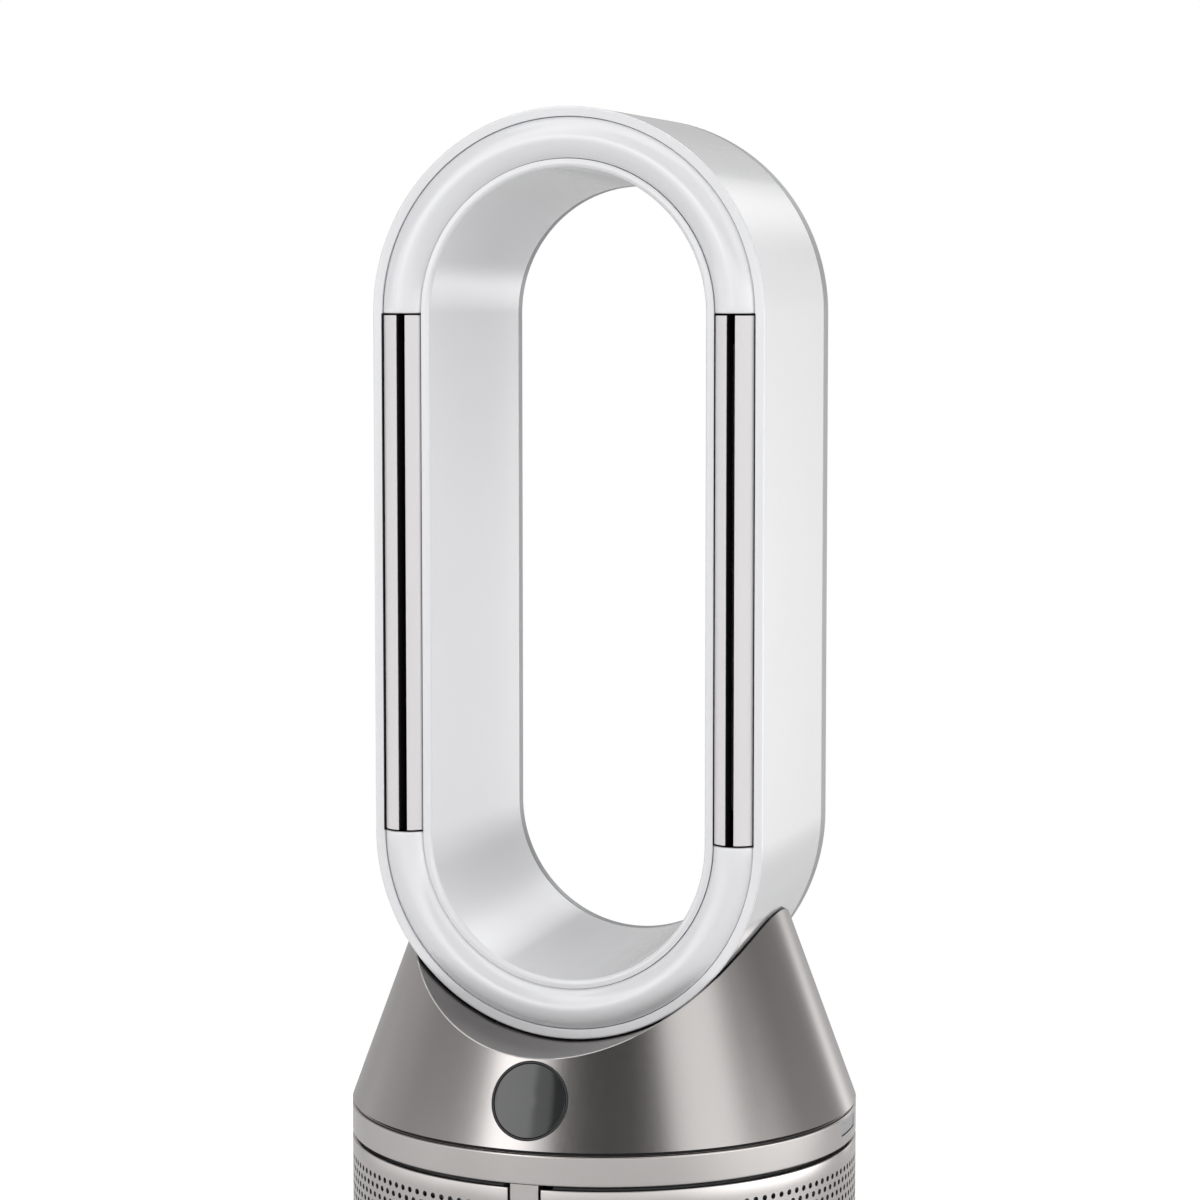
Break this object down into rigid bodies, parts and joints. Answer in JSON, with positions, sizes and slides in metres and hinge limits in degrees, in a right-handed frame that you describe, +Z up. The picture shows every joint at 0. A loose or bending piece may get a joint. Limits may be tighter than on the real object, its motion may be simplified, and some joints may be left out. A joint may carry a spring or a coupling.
{
  "type": "bladeless fan",
  "caption": "Bladeless air purifying fan: an oval outlet loop with side air slots stands in a saddle on a conical top over a round filtered body that turns on a flat foot.",
  "frame": {"origin": "centre of the footprint, on the surface that the fan stands on", "axes": "+Z up along the turning axis, -Y to the front, where the display and the air slots face, +X to the fan's left hand side as it faces the viewer, which is the viewer's right"},
  "size_m": [0.248, 0.248, 0.7639],
  "materials": {
    "gloss_white": "glossy injection moulded plastic",
    "pearl_plate": "polished pearl white plate with a mirror like sheen",
    "silver_casing": "silver grey satin plastic",
    "nickel": "moulded plastic with a satin metallic nickel coating and a fine vertical sheen",
    "rubber": "soft black rubber",
    "dark_plastic": "dark moulded plastic",
    "grey_plastic": "grey moulded plastic",
    "dark_glass": "smoked glossy window",
    "steel": "plain machined steel",
    "nylon": "natural nylon",
    "filter_paper": "pleated glass fibre paper",
    "charcoal": "granular carbon in a mesh",
    "circuit_board": "green circuit board",
    "ceramic": "fired ceramic heating stones"
  },
  "bodies": {
    "foot": {"foot_ring": "rubber", "base_plate": "nickel", "cable_gland": "rubber", "glide_track": "dark_plastic", "glide_ring": "nylon", "turntable_hub": "grey_plastic", "fixed_gear": "nylon", "hub_nut": "steel"},
    "turning_body": {"lower_housing": "nickel", "power_switch": "grey_plastic", "receiver_window": "dark_glass", "oscillation_motor": "steel", "motor_bracket": "grey_plastic", "main_board": "circuit_board", "chassis": "nickel", "deck_screw_1": "steel", "deck_screw_2": "steel", "deck_screw_3": "steel", "deck_screw_4": "steel", "carbon_filter_right": "charcoal", "carbon_filter_left": "charcoal", "motor_bucket": "dark_plastic", "fan_motor": "steel", "diffuser": "grey_plastic", "tail_cone": "grey_plastic", "neck_duct": "dark_plastic", "flange_screw_1": "steel", "flange_screw_2": "steel", "cone_shell": "nickel", "loop_seal": "rubber", "display_bezel": "dark_plastic", "display_lens": "dark_glass", "display_module": "circuit_board", "outer_casing": "gloss_white", "inner_casing": "gloss_white", "rear_casing": "silver_casing", "front_trim_top": "gloss_white", "front_trim_bottom": "gloss_white", "outer_nozzle_plate_right": "pearl_plate", "outer_nozzle_plate_left": "pearl_plate", "inner_nozzle_plate_right": "pearl_plate", "inner_nozzle_plate_left": "pearl_plate", "heater_right": "ceramic", "heater_left": "ceramic", "baffle_motor_right": "steel", "baffle_motor_left": "steel"},
    "power_button": {"power_button": "dark_plastic"},
    "pinion": {"oscillation_pinion": "nylon"},
    "rotor": {"impeller": "dark_plastic", "motor_shaft": "steel"},
    "shroud_right": {"shroud_right": "nickel", "particle_filter_right": "filter_paper"},
    "shroud_left": {"shroud_left": "nickel", "particle_filter_left": "filter_paper"},
    "release_button_right": {"release_button_right": "silver_casing"},
    "release_button_left": {"release_button_left": "silver_casing"},
    "flow_baffle_right": {"flow_baffle_right": "dark_plastic"},
    "flow_baffle_left": {"flow_baffle_left": "dark_plastic"}
  },
  "joints": [
    {"name": "oscillation", "type": "hinge", "parent": "foot", "child": "turning_body", "pos_m": [0, 0, 0.016], "axis": [0, 0, 1], "range_deg": [-175, 175]},
    {"name": "pinion_spin", "type": "hinge", "parent": "turning_body", "child": "pinion", "pos_m": [0.048, 0, 0.024], "axis": [0, 0, 1], "range_deg": [-526, 526]},
    {"name": "impeller_spin", "type": "hinge", "parent": "turning_body", "child": "rotor", "pos_m": [0, 0, 0.12], "axis": [0, 0, 1], "continuous": true},
    {"name": "power_press", "type": "slide", "parent": "turning_body", "child": "power_button", "axis": [0, 1, 0], "range_m": [0, 0.0015], "stiffness_N_per_m": 400},
    {"name": "release_press_right", "type": "slide", "parent": "turning_body", "child": "release_button_right", "axis": [-1, 0, 0], "range_m": [0, 0.0025], "stiffness_N_per_m": 400},
    {"name": "release_press_left", "type": "slide", "parent": "turning_body", "child": "release_button_left", "axis": [1, 0, 0], "range_m": [0, 0.0025], "stiffness_N_per_m": 400},
    {"name": "shroud_pull_right", "type": "slide", "parent": "turning_body", "child": "shroud_right", "axis": [1, 0, 0], "range_m": [0, 0.15]},
    {"name": "shroud_pull_left", "type": "slide", "parent": "turning_body", "child": "shroud_left", "axis": [-1, 0, 0], "range_m": [0, 0.15]},
    {"name": "baffle_turn_right", "type": "hinge", "parent": "turning_body", "child": "flow_baffle_right", "pos_m": [0.08195, 0.022, 0.5435], "axis": [0, 0, 1], "range_deg": [0, 90]},
    {"name": "baffle_turn_left", "type": "hinge", "parent": "turning_body", "child": "flow_baffle_left", "pos_m": [-0.08195, 0.022, 0.5435], "axis": [0, 0, -1], "range_deg": [0, 90]}
  ],
  "couplings": [
    {"joint": "pinion_spin", "follows": "oscillation", "ratio": 3},
    {"joint": "baffle_turn_left", "follows": "baffle_turn_right", "ratio": 1}
  ]
}
